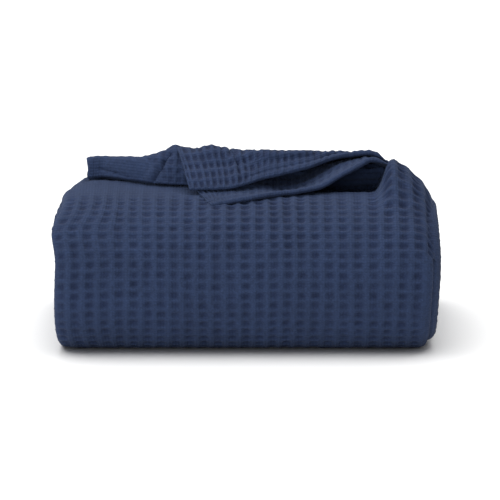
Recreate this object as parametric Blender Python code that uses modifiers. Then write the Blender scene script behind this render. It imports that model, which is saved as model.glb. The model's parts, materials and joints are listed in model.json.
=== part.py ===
"""A waffle weave cotton blanket, folded into a thick bundle with a loose hemmed corner on top.

The cloth is one piece. It is folded in three across its width, and that long strip is
then folded back and forth into eight levels, with its end brought back over the top.
Each panel stands for two plies of cloth that lie flat on each other.
X runs along the bundle, -Y is the front and Z is up. The origin is the middle of the base.
"""

import math
from collections import namedtuple

import bmesh
import bpy

MM = 0.001

# Cloth and stack, in millimetres
PANEL = 5.6             # thickness of one panel, two plies of cloth
PANEL_PITCH = 6.1       # from one panel of a strip to the next
LEVEL_PITCH = 18.4      # from one level of the stack to the next
HALF_LENGTH = 193.0     # half of the bundle along X
DEPTH = 245.0           # front to back
FLAP_PLY = 2.6          # one loose ply on top
HEM_BEAD = 6.2          # thickness of the rolled hem along a loose edge

HALF_PANEL = PANEL / 2
OUTER_TURN = PANEL_PITCH / 2 + HALF_PANEL    # outer radius of a fold between two panels
INNER_TURN = PANEL_PITCH / 2 - HALF_PANEL
BASE = PANEL_PITCH + HALF_PANEL              # middle of the lowest level above the table

# Levels of the stack that have a name of their own
RETURN = 8              # the end of the strip that comes back over the top
COVER = 7               # the outer layer, from the top down the front
FREE = 6                # the other end of the strip

# Where the loose plies leave the top panel of the return strip
ROOT_HEIGHT = BASE + RETURN * LEVEL_PITCH + PANEL_PITCH

# The slumped shape of the stack. Along X, each row gives the share of its full height, how much
# of the inset below applies, and how far the front corner is drawn back.
EndShape = namedtuple("EndShape", "x height draw corner")
END_SHAPE = [
    EndShape(-193, 0.92, 1.0, 13.0), EndShape(-187, 0.93, 0.875, 3.2),
    EndShape(-172, 0.955, 0.5625, 0.0), EndShape(-145, 1.0, 0.0, 0.0),
    EndShape(160, 1.0, 0.0, 0.0), EndShape(174, 0.975, 0.45, 3.0),
    EndShape(187, 0.945, 0.9, 9.6), EndShape(193, 0.93, 1.0, 22.0),
]
CORNER_FADE = 110.0
BACK_FALL, BACK_FALL_FROM = 0.10, 150.0

# Each fold's front edge, the height where it stands upright, and how far and how squarely it
# bends back from there to its upper and its lower level
FrontFold = namedtuple(
    "FrontFold", "upper lower front height reach_up bend_up reach_low bend_low steps")
FRONT_FOLDS = [
    FrontFold(7, 0, 8.9, 60.0, 81.0, 2.3, 41.0, 2.0, 7),
    FrontFold(6, 1, 28.0, 64.0, 66.0, 2.3, 38.0, 2.1, 6),
    FrontFold(5, 2, 49.0, 71.0, 41.0, 2.2, 26.0, 2.1, 6),
    FrontFold(4, 3, 75.0, 73.3, 9.2, 2.0, 9.2, 2.0, 4),
]

# Round folds at the back, with the depth where each one starts to turn
BackFold = namedtuple("BackFold", "upper lower start steps")
BACK_FOLDS = [
    BackFold(8, 7, 224.0, 6),
    BackFold(5, 4, 221.0, 5),
    BackFold(3, 0, 208.5, 7),
    BackFold(2, 1, 208.5, 7),
]
FREE_END = 232.0        # back edge of the free level
EDGE_STEPS = (0.0, 4.0)         # behind the return strip's uneven front edge
RETURN_FLAT_TO = 190.0

# Where each level ends
Level = namedtuple("Level", "left right")
LEVELS = [
    Level(-191.0, 190.0),
    Level(-192.5, 192.0),
    Level(-191.5, 193.0),
    Level(-193.0, 191.5),
    Level(-192.0, 193.0),
    Level(-193.0, 192.0),
    Level(-192.0, 193.0),
    Level(-191.5, 192.0),
    Level(-161.0, 134.0),
]
TURNED_LEFT = -167.0    # left end of the back fold up to the return strip
COVER_EDGE = -8.0       # the outer panel's free edge lies this far inside the right end
LOOSE_EDGE = 3.0        # and the innermost panel's this far inside the left end

# The ends draw in toward the base and toward the top
Inset = namedtuple("Inset", "height left right")
INSETS = [
    Inset(0, 8.0, 9.0), Inset(10, 5.0, 6.0), Inset(22, 2.5, 3.5), Inset(42, 0.0, 0.5),
    Inset(90, 0.0, 0.0), Inset(110, 0.5, 0.5), Inset(128, 2.0, 1.5), Inset(146, 7.0, 4.0),
    Inset(168, 7.0, 4.0),
]

# Front edge of the return strip, from the left end to the right
StripFront = namedtuple("StripFront", "x depth")
STRIP_FRONT = [
    StripFront(-161, 166), StripFront(-147, 173), StripFront(-120, 149), StripFront(-97, 136),
    StripFront(-60, 131), StripFront(0, 136), StripFront(30, 142), StripFront(60, 152),
    StripFront(90, 158), StripFront(134, 160),
]

# The raised shoulder of the outer panel near the right end
Shoulder = namedtuple("Shoulder", "x rise shift")
SHOULDER = [
    Shoulder(137, 0.0, 5.0), Shoulder(142.5, 26.5, 5.0), Shoulder(150, 27.0, 1.0),
    Shoulder(160, 25.0, 0.0), Shoulder(174, 17.0, 0.0), Shoulder(182, 10.0, 0.0),
]
SHOULDER_FROM, SHOULDER_FULL, SHOULDER_HELD, SHOULDER_GONE = 40.0, 100.0, 122.0, 218.0

# Columns of the panels along X, with the rows of END_SHAPE among them
INNER_COLUMNS = [-172, -145, 160, 174]
TURN_POINTS = 2
COVER_COLUMNS = [-172, -145] + [row.x for row in SHOULDER[:-1]]

# Loose plies. Each row is a line of the cloth from its root to its hem, at x along the root
# and at hem_x along the hem. Depth is measured back from the front, height from the table.
FlapLine = namedtuple(
    "FlapLine", "x root crest_depth crest_height knee_depth knee_height hem_x hem_depth hem_height")
UPPER_FLAP = [
    FlapLine(-67, 202, 150, 184.5, 112, 171.0, -50, 72, 149.5),
    FlapLine(-51, 205, 144, 180.5, 108, 168.5, -40, 73, 150.0),
    FlapLine(-37, 209, 139, 185.5, 108, 171.0, -27, 75, 152.0),
    FlapLine(-20, 211, 136, 181.0, 108, 170.5, -14, 78, 154.5),
    FlapLine(0, 212, 134, 180.5, 110, 171.0, 2, 84, 156.5),
    FlapLine(18, 212, 133, 181.5, 114, 172.5, 18, 94, 159.0),
    FlapLine(39, 211, 136, 180.5, 120, 174.5, 38, 106, 163.5),
    FlapLine(63, 209, 142, 179.0, 134, 176.0, 63, 125, 170.0),
    FlapLine(84, 206, 151, 177.0, 145, 176.0, 83, 139, 174.0),
    FlapLine(105, 203, 156, 175.0, 151, 175.5, 104, 146, 174.5),
    FlapLine(126, 201, 158, 174.5, 153, 175.5, 126, 148, 175.5),
]
LOWER_FLAP = [
    FlapLine(-40, 168, 130, 167.4, 104, 154.0, -43, 58, 147.5),
    FlapLine(-24, 170, 131, 167.4, 104, 153.0, -26, 53, 146.5),
    FlapLine(-7, 172, 133, 167.4, 106, 152.5, -7, 62, 149.0),
    FlapLine(14, 175, 136, 167.4, 109, 152.5, 14, 72, 150.5),
    FlapLine(33, 179, 141, 167.4, 114, 153.5, 33, 80, 151.0),
    FlapLine(53, 183, 149, 167.4, 120, 157.0, 53, 88, 153.0),
    FlapLine(73, 186, 154, 167.4, 126, 163.0, 73, 95, 158.0),
    FlapLine(93, 188, 157, 167.4, 131, 166.0, 93, 103, 166.0),
    FlapLine(112, 189, 158, 167.4, 134, 168.6, 112, 110, 173.0),
    FlapLine(126, 190, 159, 167.4, 137, 170.5, 126, 115, 176.0),
]
FRONT_BAND = [
    FlapLine(-161, 190, 169, 165.8, 160, 162.0, -161, 157, 150.5),
    FlapLine(-146, 191, 175, 166.0, 166, 162.0, -147, 162, 150.5),
    FlapLine(-133, 190, 166, 167.5, 154, 162.5, -133, 151, 150.5),
    FlapLine(-120, 187, 157, 169.0, 144, 163.0, -120, 141, 150.5),
    FlapLine(-108, 184, 152, 171.0, 137, 163.0, -108, 134, 150.5),
    FlapLine(-97, 182, 149, 173.5, 132, 163.0, -97, 128, 150.5),
    FlapLine(-84, 180, 149, 178.5, 132, 166.0, -84, 125, 150.5),
    FlapLine(-74, 178, 149, 183.0, 131, 169.0, -76, 124, 150.5),
    FlapLine(-64, 176, 146, 178.0, 129, 165.5, -66, 124, 150.5),
]
EMBEDDED_AT = 145.0     # the right ends of the two flaps lie inside the shoulder here
PLY_SPREAD = 1.4        # and this far above and below the middle of the outer panel
FLAP_ROWS = [0.0, 0.14, 0.28, 0.42, 0.56, 0.70, 0.84]
HEM_MARGIN = 2.0
HEM_ROWS = [(7.5, 0.45), (5.5, 0.92), (2.2, 1.0), (0.0, 0.5)]   # distance from the edge, thickness

COTTON = (0.048, 0.075, 0.137, 1.0)

Station = namedtuple("Station", "depth height across_depth across_height left right raised edge")


def eased(value):
    """0 to 1 with a soft start and end."""
    value = min(1.0, max(0.0, value))
    return value * value * (3 - 2 * value)


def between(rows, key, at, column):
    """The value of a table's column at a place between its rows."""
    for low, high in zip(rows, rows[1:]):
        if at <= getattr(high, key):
            span = getattr(high, key) - getattr(low, key)
            part = max(0.0, (at - getattr(low, key)) / span)
            return getattr(low, column) * (1 - part) + getattr(high, column) * part
    return getattr(rows[-1], column)


def settle(x, depth, height):
    """The stack's own slumped shape, from its neat folded one."""
    column = "left" if x < 0 else "right"
    inward = between(INSETS, "height", height, column) * between(END_SHAPE, "x", x, "draw")
    fade = max(0.0, 1 - depth / CORNER_FADE)
    back = between(END_SHAPE, "x", x, "corner") * fade
    share = between(END_SHAPE, "x", x, "height")
    share *= 1 - BACK_FALL * max(0.0, (depth - BACK_FALL_FROM) / (DEPTH - BACK_FALL_FROM))
    return x - math.copysign(inward, x), depth + back, height * share


def shoulder_rise(x, depth):
    """Height that the outer panel gains at its raised right shoulder."""
    if x <= SHOULDER[0].x:
        return 0.0
    across = between(SHOULDER, "x", x, "rise")
    if depth < SHOULDER_HELD:
        along = eased((depth - SHOULDER_FROM) / (SHOULDER_FULL - SHOULDER_FROM))
    else:
        along = max(0.0, (SHOULDER_GONE - depth) / (SHOULDER_GONE - SHOULDER_HELD))
    return across * along


def level_height(number):
    return BASE + number * LEVEL_PITCH


def bend(reach, rise, power, steps):
    """A quarter of a rounded bend: (depth, height) from its upright middle to its level end."""
    angles = [math.pi / 2 * step / steps for step in range(steps + 1)]
    return [
        (reach * (1 - math.cos(a) ** (2 / power)), rise * math.sin(a) ** (2 / power))
        for a in angles
    ]


def front_bend(fold):
    """(depth, height) along a front fold, from its upper level down to its lower one."""
    up = bend(fold.reach_up, level_height(fold.upper) - fold.height, fold.bend_up, fold.steps)
    low = bend(fold.reach_low, fold.height - level_height(fold.lower), fold.bend_low, fold.steps)
    upper_half = [(fold.front + d, fold.height + h) for d, h in reversed(up)]
    return upper_half + [(fold.front + d, fold.height - h) for d, h in low[1:]]


def back_bend(fold):
    """(depth, height) along a back fold, from its upper level down to its lower one."""
    radius = (level_height(fold.upper) - level_height(fold.lower)) / 2
    middle = level_height(fold.lower) + radius
    angles = [math.pi * step / fold.steps for step in range(fold.steps + 1)]
    return [(fold.start + radius * math.sin(a), middle + radius * math.cos(a)) for a in angles]


def route():
    """The middle line of the strip as runs of (depth, height, from level, to level, part)."""
    front = {(fold.upper, fold.lower): front_bend(fold) for fold in FRONT_FOLDS}
    back = {(fold.upper, fold.lower): back_bend(fold) for fold in BACK_FOLDS}
    line = [
        (depth, level_height(RETURN), RETURN, RETURN, 0.0)
        for depth in (*EDGE_STEPS, RETURN_FLAT_TO)
    ]
    turns = [
        (back, RETURN, COVER), (front, COVER, 0), (back, 0, 3), (front, 3, 4),
        (back, 4, 5), (front, 5, 2), (back, 2, 1), (front, 1, FREE),
    ]
    for folds, start, end in turns:
        points = folds[(start, end)] if start > end else folds[(end, start)][::-1]
        for index, (depth, height) in enumerate(points):
            line.append((depth, height, start, end, index / (len(points) - 1)))
        line.append((BACK_FALL_FROM, level_height(end), end, end, 0.0))
    line.append((FREE_END, level_height(FREE), FREE, FREE, 0.0))
    return line


def stations():
    """The route with its widths and the direction across the strip at each point."""
    line = route()
    found = []
    for index, (depth, height, start, end, part) in enumerate(line):
        before = line[max(0, index - 1)]
        after = line[min(len(line) - 1, index + 1)]
        inward = unit(depth - before[0], height - before[1]) if index else None
        outward = unit(after[0] - depth, after[1] - height) if index < len(line) - 1 else None
        inward, outward = inward or outward, outward or inward
        along = unit(inward[0] + outward[0], inward[1] + outward[1])
        end_left = TURNED_LEFT if start == RETURN != end else LEVELS[end].left
        left = LEVELS[start].left * (1 - part) + end_left * part
        right = LEVELS[start].right * (1 - part) + LEVELS[end].right * part
        raised = COVER in (start, end) and start != RETURN and height > FRONT_FOLDS[0].height
        found.append(Station(
            depth, height, -along[1], along[0], left, right, raised, index < len(EDGE_STEPS)))
    return found


def unit(depth, height):
    length = math.hypot(depth, height)
    return (depth / length, height / length) if length > 1e-6 else None


def turn(centre_x, centre_offset, start, end):
    """Outer points of a half turn between two panels, without its two ends."""
    step = math.radians(end - start) / (TURN_POINTS + 1)
    angles = [math.radians(start) + step * k for k in range(1, TURN_POINTS + 1)]
    return [
        (centre_x + OUTER_TURN * math.cos(a), centre_offset + OUTER_TURN * math.sin(a))
        for a in angles
    ]


def strip_rungs():
    """Pairs of points through the cloth, (x, offset, panel, face), from its right edge to its left."""
    left, right = -HALF_LENGTH + OUTER_TURN, HALF_LENGTH - OUTER_TURN
    cover_end = HALF_LENGTH + COVER_EDGE - HALF_PANEL
    loose_end = -HALF_LENGTH + LOOSE_EDGE + HALF_PANEL
    low, top = -PANEL_PITCH, PANEL_PITCH
    shift = {row.x: row.shift for row in SHOULDER}
    rungs = [((cover_end + HALF_PANEL, low, 1, 0),) * 2]
    for x in [cover_end] + COVER_COLUMNS[::-1] + [left]:
        upper = x + shift.get(x, 0.0)
        rungs.append(((x, low - HALF_PANEL, 1, -1), (upper, low + HALF_PANEL, 1, 1)))
    inner = (left - INNER_TURN, low / 2, 2, 0)
    rungs += [((*p, 1, 0), inner) for p in turn(left, low / 2, -90, -270)]
    for x in [left] + INNER_COLUMNS + [right]:
        rungs.append(((x, HALF_PANEL, 2, 1), (x, -HALF_PANEL, 2, -1)))
    inner = (right + INNER_TURN, top / 2, 2, 0)
    rungs += [(inner, (*p, 3, 0)) for p in turn(right, top / 2, -90, 90)]
    for x in [right] + INNER_COLUMNS[::-1] + [loose_end]:
        rungs.append(((x, top - HALF_PANEL, 3, -1), (x, top + HALF_PANEL, 3, 1)))
    rungs.append(((loose_end - HALF_PANEL, top, 3, 0),) * 2)
    return rungs


def fitted(x, left, right):
    """A column's own place in a strip that ends at left and right. Only its end parts give way."""
    shorter = left > TURNED_LEFT - INNER_TURN
    if x < 0:
        fixed, end, full = INNER_COLUMNS[1 if shorter else 0], left, -HALF_LENGTH
    else:
        fixed, end, full = INNER_COLUMNS[-1], right, HALF_LENGTH
        if right < fixed:
            fixed = 0
    within = x >= fixed if x < 0 else x <= fixed
    return x if within else fixed + (x - fixed) * (end - fixed) / (full - fixed)


def placed(station, x, offset, panel, face):
    """One point of the strip, in bundle coordinates."""
    across = fitted(x, station.left, station.right)
    depth = station.depth
    if station.edge:
        depth += between(STRIP_FRONT, "x", across, "depth")
    depth += offset * station.across_depth
    height = station.height + offset * station.across_height
    lifted = 0.0
    if station.raised and panel == 1:
        row_x = x
        if face == 1:
            row_x = next((row.x for row in SHOULDER if abs(row.x + row.shift - x) < 0.01), x)
        lifted = shoulder_rise(row_x, depth)
    moved_x, moved_depth, moved_height = settle(across, depth, height)
    return moved_x, moved_depth, moved_height + lifted


def at_bundle(x, depth, height):
    return (x * MM, (depth - DEPTH / 2) * MM, height * MM)


def add_face(shape, corners):
    """A face through its different corners, in order."""
    distinct = list(dict.fromkeys(corners))
    if len(distinct) > 2:
        shape.faces.new(distinct)


def folded_stack():
    """The whole folded strip as one closed loft."""
    shape = bmesh.new()
    rungs = strip_rungs()
    rings = []
    for station in stations():
        made = {}
        for point in (point for rung in rungs for point in rung):
            if point not in made:
                made[point] = shape.verts.new(at_bundle(*placed(station, *point)))
        rings.append([(made[a], made[b]) for a, b in rungs])
    for low, high in zip(rings, rings[1:]):
        for index in range(len(rungs) - 1):
            for side in (0, 1):
                add_face(shape, (low[index][side], low[index + 1][side],
                                 high[index + 1][side], high[index][side]))
    for ring in (rings[0], rings[-1]):
        for low, high in zip(ring, ring[1:]):
            add_face(shape, (low[0], high[0], high[1], low[1]))
    bmesh.ops.recalc_face_normals(shape, faces=shape.faces)
    return mesh_from(shape, "FoldedStack")


def mesh_from(shape, name):
    mesh = bpy.data.meshes.new(name)
    shape.to_mesh(mesh)
    shape.free()
    return mesh


def spline(points, pieces=10):
    """A smooth line through a few points, as close short steps."""
    ends = [points[0]] + points + [points[-1]]
    line = []
    for a, b, c, d in zip(ends, ends[1:], ends[2:], ends[3:]):
        for step in range(pieces):
            t = step / pieces
            line.append(tuple(
                0.5 * (2 * q + (r - p) * t + (2 * p - 5 * q + 4 * r - s) * t * t
                       + (3 * q - p - 3 * r + s) * t ** 3)
                for p, q, r, s in zip(a, b, c, d)
            ))
    return line + [points[-1]]


def along_line(line, distance):
    """The point at a distance along a line of short steps."""
    for start, end in zip(line, line[1:]):
        step = math.dist(start, end)
        if distance <= step:
            part = distance / step if step else 0.0
            return tuple(p * (1 - part) + q * part for p, q in zip(start, end))
        distance -= step
    return line[-1]


def flap_line(row):
    """One line of a loose ply from its root, inside the strip's top panel, to its hem."""
    root = settle(row.x, row.root, ROOT_HEIGHT)
    side = (row.x + row.hem_x) / 2
    points = [
        (row.x, root[1], root[2]), (row.x, row.crest_depth, row.crest_height),
        (side, row.knee_depth, row.knee_height), (row.hem_x, row.hem_depth, row.hem_height),
    ]
    return spline(points)


def embedded_line(row, offset):
    """The right end of a loose ply, inside the raised shoulder."""
    depths = [row.root, row.crest_depth, row.knee_depth, row.hem_depth]
    points = []
    for depth in depths:
        height = settle(EMBEDDED_AT, depth, level_height(COVER) + PANEL_PITCH)[2]
        rise = shoulder_rise(EMBEDDED_AT, depth)
        points.append((EMBEDDED_AT, depth, height + rise + offset))
    return spline(points)


def flap(name, rows, embedded=None):
    """A loose ply: an open sheet, thickened, with a thicker rolled hem."""
    shape = bmesh.new()
    lines = [flap_line(row) for row in rows]
    if embedded is not None:
        lines.append(embedded_line(rows[-1], embedded))
    columns, weights = [], []
    for line in lines:
        length = sum(math.dist(a, b) for a, b in zip(line, line[1:]))
        cut = length - HEM_ROWS[0][0] - HEM_MARGIN
        spots = [(part * cut / FLAP_ROWS[-1], FLAP_PLY / HEM_BEAD) for part in FLAP_ROWS]
        spots += [(length - distance, bulk) for distance, bulk in HEM_ROWS]
        columns.append([shape.verts.new(at_bundle(*along_line(line, s))) for s, bulk in spots])
        weights += [bulk for s, bulk in spots]
    for low, high in zip(columns, columns[1:]):
        for index in range(len(low) - 1):
            shape.faces.new((low[index], low[index + 1], high[index + 1], high[index]))
    bmesh.ops.recalc_face_normals(shape, faces=shape.faces)
    piece = bpy.data.objects.new(name, mesh_from(shape, name))
    bulk_group = piece.vertex_groups.new(name="Bulk")
    for index, bulk in enumerate(weights):
        bulk_group.add([index], bulk, "REPLACE")
    thick = piece.modifiers.new("Thickness", "SOLIDIFY")
    thick.thickness = HEM_BEAD * MM
    thick.offset = 0.0
    thick.use_even_offset = True
    thick.vertex_group = bulk_group.name
    piece.hide_render = True
    piece.display_type = "WIRE"
    return piece


def cotton():
    material = bpy.data.materials.new("NavyCotton")
    material.use_nodes = True
    shader = material.node_tree.nodes["Principled BSDF"]
    shader.inputs["Base Color"].default_value = COTTON
    shader.inputs["Roughness"].default_value = 0.9
    shader.inputs["Metallic"].default_value = 0.0
    return material


def new_collection(name):
    collection = bpy.data.collections.new(name)
    bpy.context.scene.collection.children.link(collection)
    return collection


def centre_on_base(objects):
    """Moves every mesh so that the bundle's middle is at X = Y = 0 and its base at Z = 0."""
    bpy.context.view_layer.update()
    blanket = objects[0]
    graph = bpy.context.evaluated_depsgraph_get()
    points = [v.co for v in blanket.evaluated_get(graph).to_mesh().vertices]
    low = [min(p[axis] for p in points) for axis in range(3)]
    high = [max(p[axis] for p in points) for axis in range(3)]
    shift = [-(low[0] + high[0]) / 2, -(low[1] + high[1]) / 2, -low[2]]
    for piece in objects:
        for vertex in piece.data.vertices:
            vertex.co = [c + s for c, s in zip(vertex.co, shift)]


def main():
    for old in list(bpy.data.objects):
        bpy.data.objects.remove(old, do_unlink=True)
    model = new_collection("WaffleBlanket")
    helpers = new_collection("JoinedPlies")

    blanket = bpy.data.objects.new("blanket", folded_stack())
    blanket.data.materials.append(cotton())
    model.objects.link(blanket)
    plies = [
        flap("FrontBand", FRONT_BAND),
        flap("LowerFlap", LOWER_FLAP, -PLY_SPREAD),
        flap("UpperFlap", UPPER_FLAP, PLY_SPREAD),
    ]
    for ply in plies:
        helpers.objects.link(ply)
        join = blanket.modifiers.new(ply.name, "BOOLEAN")
        join.operation = "UNION"
        join.solver = "EXACT"
        join.object = ply
    centre_on_base([blanket] + plies)
    blanket.data.shade_smooth()
    blanket.data.set_sharp_from_angle(angle=math.radians(35))


main()
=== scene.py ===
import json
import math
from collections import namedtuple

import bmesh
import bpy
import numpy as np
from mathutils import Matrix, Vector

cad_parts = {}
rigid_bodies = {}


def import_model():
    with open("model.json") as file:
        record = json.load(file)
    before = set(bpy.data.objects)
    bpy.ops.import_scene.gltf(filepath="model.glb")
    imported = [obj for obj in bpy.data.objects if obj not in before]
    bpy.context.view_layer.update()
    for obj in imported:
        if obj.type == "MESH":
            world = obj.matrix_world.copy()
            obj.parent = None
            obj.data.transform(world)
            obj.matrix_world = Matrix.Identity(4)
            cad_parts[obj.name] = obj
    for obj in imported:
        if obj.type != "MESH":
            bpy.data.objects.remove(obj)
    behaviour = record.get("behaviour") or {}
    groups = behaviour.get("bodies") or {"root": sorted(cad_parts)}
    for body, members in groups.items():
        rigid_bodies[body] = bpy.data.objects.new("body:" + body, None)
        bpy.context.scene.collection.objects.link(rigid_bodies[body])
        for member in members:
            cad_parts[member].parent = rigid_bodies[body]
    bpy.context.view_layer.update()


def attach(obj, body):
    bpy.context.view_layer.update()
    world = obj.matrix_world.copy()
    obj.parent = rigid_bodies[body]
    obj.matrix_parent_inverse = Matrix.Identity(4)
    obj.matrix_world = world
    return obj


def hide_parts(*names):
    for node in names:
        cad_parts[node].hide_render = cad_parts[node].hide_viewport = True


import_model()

# A navy waffle weave cotton blanket, folded into a thick bundle.
#
# The cloth is folded in three across its width and that strip is folded back and forth into
# levels. Each sheet below is a stretch of the one cloth, laid on the same folds as the solid, with
# its waffle cells, hems and creases. Sizes are in millimetres: x along the bundle, depth back from
# its front, height above the table. The frame's Y = 0 lies MIDDLE behind the front.

bl_info = {
    "name": "Folded waffle blanket",
    "version": (1, 0, 0),
    "blender": (4, 5, 0),
    "location": "3D View > Sidebar > Blanket",
    "description": "Makes a folded waffle weave cotton blanket and its studio",
    "category": "Add Mesh",
}

MM = 0.001
MIDDLE = 122.04         # depth of the frame's Y = 0
BODY = "root"
NODE = "blanket"


def rows_of(fields, *rows):
    """A table as a list of rows with named fields."""
    row_type = namedtuple("Row", fields)
    return [row_type(*row) for row in rows]


# ---- The folded strip, as in the solid ------------------------------------------------------

PANEL = 5.6             # thickness of one panel, two plies of cloth
PANEL_PITCH = 6.1
LEVEL_PITCH = 18.4
HALF_LENGTH = 193.0
HALF_TURNED = 187.2     # columns past this belong to a turned edge
DEPTH = 245.0
HALF_PANEL = PANEL / 2
OUTER_TURN = PANEL_PITCH / 2 + HALF_PANEL
INNER_TURN = PANEL_PITCH / 2 - HALF_PANEL
BASE = PANEL_PITCH + HALF_PANEL
RETURN, COVER, FREE = 8, 7, 6           # levels with a name of their own
ROOT_HEIGHT = BASE + RETURN * LEVEL_PITCH + PANEL_PITCH

# Shares of the full height at the front and at the back, how much of the inset is drawn in, and
# how far the front is pushed back
END_SHAPE = rows_of(
    "x front back draw corner",
    (-193, 0.980, 0.89, 1.0, 8.0), (-190, 0.986, 0.90, 1.0, 4.0), (-187, 0.992, 0.92, 1.0, 2.0),
    (-180, 0.998, 0.955, 1.0, 0.4), (-172, 1.0, 0.992, 1.0, 0.0), (-160, 1.0, 1.005, 1.0, 0.0),
    (-145, 1.0, 1.0, 0.75, 0.0), (-130, 1.0, 1.0, 0.3, 0.0), (-112, 1.0, 1.0, 0.0, 0.0),
    (150, 1.0, 1.0, 0.0, 0.0), (174, 0.990, 0.965, 0.45, 1.5), (182, 0.980, 0.93, 0.75, 3.5),
    (187, 0.970, 0.90, 0.9, 7.0), (193, 0.955, 0.87, 1.0, 14.0))
CORNER_FADE = 110.0
FULL_TO, SLUMPED_FROM = 110.0, 180.0    # depths between which the ends' height falls
BACK_FALL, BACK_FALL_FROM = 0.10, 150.0

FRONT_FOLDS = rows_of(
    "upper lower front height reach_up bend_up reach_low bend_low",
    (7, 0, 8.9, 60.0, 81.0, 2.3, 41.0, 2.0), (6, 1, 28.0, 64.0, 66.0, 2.3, 38.0, 2.1),
    (5, 2, 49.0, 71.0, 41.0, 2.2, 26.0, 2.1), (4, 3, 75.0, 73.3, 9.2, 2.0, 9.2, 2.0))
BACK_FOLDS = rows_of(
    "upper lower start",
    (8, 7, 224.0), (5, 4, 221.0), (3, 0, 208.5), (2, 1, 208.5))
FREE_END = 232.0        # depth of the cloth's own end, at the back

# Where each level's ends lie, from the lowest up
LEVELS = rows_of(
    "left right",
    (-192.7, 194.0), (-193.0, 194.5), (-192.5, 193.5), (-193.5, 193.0), (-192.5, 194.0),
    (-193.5, 193.5), (-193.0, 194.5), (-192.7, 194.0), (-171.0, 141.0))
TURNED_LEFT = -174.0                    # left end of the fold between return strip and cover
COVER_EDGE = -8.0                       # how far the cover's and the top ply's free edges stop
LOOSE_EDGE = 3.0                        # short of the end that they lie at
FIXED = (-172.0, 174.0)                 # a level's ends give way outside these columns
RETURN_FIXED = (-145.0, 0.0)            # the same for the return strip
FULL_ENDS = (-HALF_LENGTH, HALF_LENGTH)

# How far in from its neat place each end lies, by height
INSETS = rows_of(
    "height left right",
    (0, 5.5, 8.5), (10, 2.8, 5.2), (22, 1.0, 3.4), (42, 0.0, 2.2), (60, 0.0, 1.2),
    (80, 0.6, -0.2), (100, 1.2, -0.6), (114, -1.6, 0.2), (125, -4.0, 1.0), (132, -1.6, 1.6),
    (138, 5.5, 2.2), (143, 8.5, 3.0), (147, 7.4, 3.6), (168, 7.4, 3.6))

# Depth at which the return strip's front lies
STRIP_FRONT = rows_of(
    "x depth",
    (-171, 167), (-161, 167), (-147, 173), (-120, 149), (-97, 136), (-60, 131), (0, 136),
    (30, 142), (60, 152), (90, 158), (134, 160))
NOMINAL_FRONT, RETURN_FLAT_TO = 150.0, 190.0

# The raised right shoulder: how far the outer panel rises, and how much further out the same rise
# stands on its inner face
SHOULDER = rows_of(
    "x rise shift",
    (124, 0.0, 0.0), (131, 1.2, 2.0), (135, 6.5, 4.0), (138.5, 18.0, 5.0), (142, 28.6, 5.0),
    (145.5, 30.8, 3.0), (150, 29.4, 1.0), (155, 26.5, 0.0), (160, 24.0, 0.0), (168, 18.0, 0.0),
    (174, 12.5, 0.0), (182, 9.0, 0.0))
SHOULDER_FROM, SHOULDER_FULL, SHOULDER_HELD, SHOULDER_GONE = 40.0, 100.0, 122.0, 218.0

# The cover's free edge hangs over the right end of the top levels: distance along it past
# WRAP_FROM, how far out that is and how far down
WRAP = rows_of(
    "along out down",
    (0, 0.0, 0.0), (7, 5.5, 4.0), (14.5, 10.4, 10.0), (23, 14.4, 17.5), (31.5, 17.6, 25.5),
    (41, 19.8, 34.5), (52, 21.0, 46.0))
WRAP_FROM = 174.0

# Behind the front roll's crest the top sinks to the right, under the loose plies
TOP_HOLLOW = rows_of(
    "x down",
    (10, 0.0), (40, 5.0), (60, 9.5), (134, 9.5), (148, 0.0))

# ---- Loose plies on top ---------------------------------------------------------------------

# Each row is one line of cloth from where it leaves the strip, over its crest and knee, to its hem
FLAP_FIELDS = (
    "x root crest_depth crest_height knee_depth knee_height hem_x hem_depth hem_height")
UPPER_FLAP = rows_of(
    FLAP_FIELDS,
    (-72, 202, 150, 181.5, 117, 171.0, -58, 89, 151.8),
    (-53, 205, 144, 181.0, 114, 169.5, -43, 88, 152.6),
    (-37, 209, 139, 185.5, 113, 171.5, -28, 87, 153.2),
    (-20, 211, 136, 181.5, 113, 170.5, -14, 88, 154.2),
    (0, 212, 134, 180.5, 115, 171.5, 2, 94, 157.0),
    (18, 212, 133, 181.5, 119, 173.5, 18, 103, 159.8),
    (39, 211, 136, 180.5, 123, 174.5, 38, 108, 163.6),
    (63, 209, 142, 179.0, 132, 175.0, 63, 119, 167.2),
    (84, 206, 151, 176.2, 143, 174.5, 83, 134, 171.8),
    (105, 203, 156, 173.8, 151, 174.8, 104, 145, 173.8),
    (126, 201, 158, 174.2, 153, 175.6, 126, 147, 176.0))
LOWER_FLAP = rows_of(
    FLAP_FIELDS,
    (-66, 168, 130, 162.0, 96, 150.0, -36, 57, 142.4),
    (-32, 170, 131, 162.0, 94, 150.0, -25, 60, 144.6),
    (-9, 172, 133, 159.0, 94, 149.6, -8, 62, 147.4),
    (14, 175, 136, 154.5, 97, 148.8, 14, 69, 149.8),
    (33, 179, 139, 151.0, 105, 146.0, 33, 79, 150.8),
    (53, 183, 143, 151.5, 111, 147.0, 53, 84, 151.6),
    (73, 186, 149, 158.0, 118, 154.0, 73, 90, 154.4),
    (93, 188, 155, 165.0, 127, 162.5, 93, 99, 162.6),
    (112, 189, 158, 167.0, 133, 168.5, 112, 108, 171.4),
    (126, 190, 159, 168.4, 137, 172.0, 126, 114, 177.2))
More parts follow.
